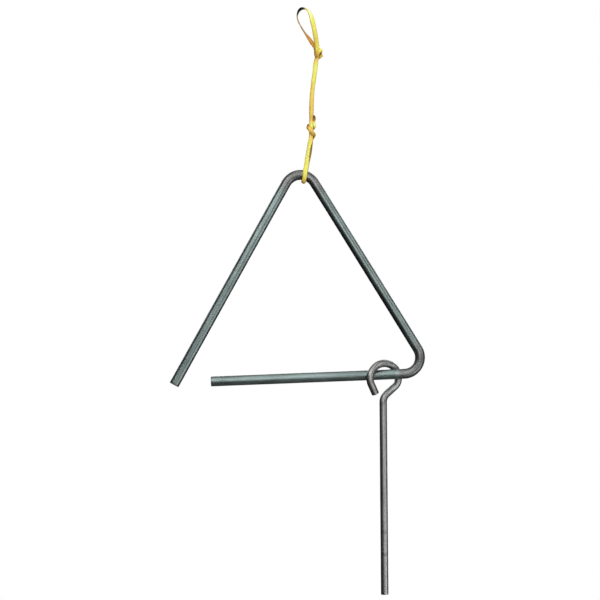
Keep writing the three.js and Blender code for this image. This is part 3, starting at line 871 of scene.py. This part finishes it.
def lace_route(spacing):
    """A natural spline through the lace's rows over their chord lengths, read again at even steps: points in
    metres, tangents, facing directions, shares of the width, rolls, tones and distances along it."""
    rows = np.array([*LOOP_KNOT, *HANG_LOOP, *STRAND, *APEX_LOOP, *TIE_KNOT])
    at = run_lengths(rows[:, :3])
    fine = np.linspace(0, at[-1], FINE_STEPS * len(rows))
    along = run_lengths(natural_spline(at, rows[:, :3], fine))
    steps = np.linspace(0, along[-1], round(along[-1] * MM / spacing) + 1)
    read = natural_spline(at, rows, np.interp(steps, along, fine))
    points = read[:, :3] * MM
    tangents = unit(np.gradient(points, axis=0))
    faces = read[:, 3:6] - (read[:, 3:6] * tangents).sum(1, keepdims=True) * tangents
    return points, tangents, unit(faces), read[:, 6], read[:, 7] * MM, read[:, 8], steps * MM


def superellipse(q, power):
    """The unit superellipse |a|^power + |b|^power = 1 at the angles q."""
    a = np.sign(np.cos(q)) * np.abs(np.cos(q)) ** (2 / power)
    b = np.sign(np.sin(q)) * np.abs(np.sin(q)) ** (2 / power)
    return a, b


def lace_piece(name, route, lace, material):
    """A flat strip along a route. Its section is a superellipse of power 4, with a across the facing
    direction and b along it, rolled into an arch by lowering it by roll * (a^2 - 0.4). The width drifts by a
    few percent along the strip, and the surface ripples by a few hundredths of a millimetre."""
    points, tangents, faces, shares, rolls, tones, along = route
    q = 2 * math.pi * np.arange(lace.section_points) / lace.section_points
    a, b = superellipse(q, SECTION_POWER)
    across = unit(np.cross(faces, tangents))
    drift = 1 + sum(size * np.sin(along * rate + lag) for size, rate, lag in DRIFTS)
    half = lace.width / 2 * (shares * drift)[:, None] * a
    ripple = RIPPLE * np.sin(along * RIPPLE_RATE)[:, None] * np.sin(RIPPLE_LOBES * q)
    thick = lace.thickness / 2 * b - rolls[:, None] * (a**2 - ROLL_REST) + ripple
    rings = points[:, None] + half[..., None] * across[:, None] + thick[..., None] * faces[:, None]
    shape = half.shape
    attributes = {
        "flat": np.stack([half, thick, np.broadcast_to(along[:, None], shape)], axis=-1),
        "side": np.broadcast_to(b, shape),
        "rim": np.broadcast_to(np.abs(a), shape),
        "tone": np.broadcast_to(tones[:, None], shape),
    }
    return closed_tube(name, rings, material, attributes)


class MakeLace(bpy.types.Operator):
    """Builds the knotted lace in two lengths that meet half way down its free strand"""

    bl_idname = "dinner_triangle.make_lace"
    bl_label = "Leather lace"

    def execute(self, context):
        lace, finish = context.scene.dinner_lace, context.scene.dinner_finish
        leather = lace_leather(
            "yellow_lace_leather",
            finish.painted_highlight,
            finish.lemon,
            finish.gold,
            finish.tan,
            finish.flesh,
            finish.edge,
            finish.painted_shade,
        )
        route = lace_route(lace.ring_spacing)
        points = route[0]
        seam = int(np.abs(points - SEAM).sum(axis=1).argmin())
        upper = tuple(x[: seam + 1] for x in route)
        lower = tuple(x[seam:] for x in route)
        top = lace_piece("upper_lace", upper, lace, leather)
        bottom = lace_piece("lower_lace", lower, lace, leather)
        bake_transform(top)
        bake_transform(bottom)
        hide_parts("hang_loop", "loop_knot", "tether")
        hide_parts("tie_knot", "apex_loop")
        return {"FINISHED"}


# Stage

SENSOR_WIDTH = 36.0
CLIP_START, CLIP_END = 0.05, 50.0
FLOOR_SIDES = 96
FLOOR_RINGS = 8
# Each light's bearing from the viewer to the right and its height above level, both in degrees, and its
# distance and size in metres
LIGHTS = {
    "front": (4, 8, 1.9, (0.9, 1.2)),
    "upper": (0, 42, 1.7, (0.9, 0.9)),
    "left": (-36, 30, 1.6, (0.8, 0.8)),
    "right": (60, 22, 1.5, (0.6, 1.0)),
    "side": (57, -29, 1.5, (0.8, 0.8)),
    "low": (24, -33, 1.6, (0.7, 0.7)),
    "top": (0, 84, 1.5, (1.0, 1.0)),
    "rear": (180, 8, 1.9, (1.4, 1.2)),
    "rear_right": (145, 32, 1.7, (1.0, 1.0)),
    "rear_left": (-145, 28, 1.7, (1.0, 1.0)),
}


def area_light(name, towards, distance, size, power, aim):
    """A rectangular light at a distance from the aim point, facing it."""
    lamp = bpy.data.lights.new(name, "AREA")
    lamp.shape = "RECTANGLE"
    lamp.size, lamp.size_y = size
    lamp.energy = power
    holder = bpy.data.objects.new(name, lamp)
    out = Vector(towards).normalized()
    holder.location = Vector(aim) + distance * out
    holder.rotation_mode = "QUATERNION"
    holder.rotation_quaternion = out.to_track_quat("Z", "Y")
    bpy.context.scene.collection.objects.link(holder)


def studio_world(ambient):
    """A white backdrop as the camera sees it, and a dim grey room as the pieces see it."""
    world = bpy.data.worlds.new("studio")
    world.use_nodes = True
    tree = world.node_tree
    backdrop = tree.nodes["Background"]
    room = tree.nodes.new("ShaderNodeBackground")
    path = tree.nodes.new("ShaderNodeLightPath")
    mix = tree.nodes.new("ShaderNodeMixShader")
    backdrop.inputs["Color"].default_value = (1, 1, 1, 1)
    room.inputs["Color"].default_value = (1, 1, 1, 1)
    room.inputs["Strength"].default_value = ambient
    tree.links.new(path.outputs["Is Camera Ray"], mix.inputs[0])
    tree.links.new(room.outputs[0], mix.inputs[1])
    tree.links.new(backdrop.outputs[0], mix.inputs[2])
    tree.links.new(mix.outputs[0], tree.nodes["World Output"].inputs["Surface"])
    bpy.context.scene.world = world


def round_floor(radius, height, material):
    """A flat disc: point = radius * ring * (cos, sin) of the angle, in rings down to one middle face."""
    q = 2 * math.pi * np.arange(FLOOR_SIDES) / FLOOR_SIDES
    ring = np.linspace(1.0, 0.0, FLOOR_RINGS + 1)[:-1, None]
    x = radius * ring * np.cos(q)
    y = radius * ring * np.sin(q)
    points = np.stack([x, y, np.full(x.shape, height)], axis=-1).reshape(-1, 3)
    index = np.arange(len(points)).reshape(FLOOR_RINGS, FLOOR_SIDES)
    following = np.roll(index, -1, axis=1)
    quads = np.stack([index[:-1], following[:-1], following[1:], index[1:]], axis=-1).reshape(-1, 4)
    mesh = bpy.data.meshes.new("floor")
    mesh.from_pydata(points.tolist(), [], [*quads.tolist(), index[-1].tolist()])
    mesh.materials.append(material)
    floor = bpy.data.objects.new("floor", mesh)
    bpy.context.scene.collection.objects.link(floor)
    return floor


class MakeStage(bpy.types.Operator):
    """Sets the camera, the studio lights, the white backdrop and the pale floor"""

    bl_idname = "dinner_triangle.make_stage"
    bl_label = "Stage"

    def execute(self, context):
        scene, stage = context.scene, context.scene.dinner_stage
        camera = bpy.data.cameras.new("camera")
        camera.lens = stage.lens
        camera.sensor_width = SENSOR_WIDTH
        camera.clip_start, camera.clip_end = CLIP_START, CLIP_END
        holder = bpy.data.objects.new("camera", camera)
        back = stage.view_width * stage.lens / camera.sensor_width
        holder.location = Vector(stage.middle) + Vector((0, -back, 0))
        holder.rotation_euler = (math.pi / 2, 0, 0)
        scene.collection.objects.link(holder)
        scene.camera = holder
        scene.view_settings.view_transform = "Standard"
        aim = Vector(stage.middle)
        for name, (bearing, height, distance, size) in LIGHTS.items():
            level = math.cos(math.radians(height))
            x, y = math.sin(math.radians(bearing)), -math.cos(math.radians(bearing))
            towards = (level * x, level * y, math.sin(math.radians(height)))
            area_light(name + "_light", towards, distance, size, getattr(stage, name + "_power"), aim)
        studio_world(stage.ambient)
        matt = pale_floor("pale_floor", scene.dinner_finish.floor, stage.floor_radius)
        floor = round_floor(stage.floor_radius, -stage.floor_drop, matt)
        return {"FINISHED"}


class DinnerTrianglePanel(bpy.types.Panel):
    bl_idname = "VIEW3D_PT_dinner_triangle"
    bl_label = "Dinner triangle"
    bl_space_type = "VIEW_3D"
    bl_region_type = "UI"
    bl_category = "Dinner triangle"

    def draw(self, context):
        for operator in OPERATORS:
            self.layout.operator(operator.bl_idname)
        for name in SETTINGS:
            group = getattr(context.scene, name)
            box = self.layout.box()
            for key in group.__annotations__:
                box.prop(group, key)


OPERATORS = (MakeStage, MakeLace, MakeTriangleBar, MakeStriker)
SETTINGS = {
    "dinner_bar": BarSizes,
    "dinner_striker": StrikerSizes,
    "dinner_lace": LaceSizes,
    "dinner_finish": Finishes,
    "dinner_stage": StageSettings,
}


def register():
    for cls in (*SETTINGS.values(), *OPERATORS, DinnerTrianglePanel):
        bpy.utils.register_class(cls)
    for name, group in SETTINGS.items():
        setattr(bpy.types.Scene, name, PointerProperty(type=group))


def unregister():
    for name in SETTINGS:
        delattr(bpy.types.Scene, name)
    for cls in (DinnerTrianglePanel, *reversed(OPERATORS), *reversed(SETTINGS.values())):
        bpy.utils.unregister_class(cls)


def main():
    register()
    bpy.ops.dinner_triangle.make_stage()
    bpy.ops.dinner_triangle.make_lace()
    bpy.ops.dinner_triangle.make_bar()
    bpy.ops.dinner_triangle.make_striker()


if __name__ == "__main__":
    main()
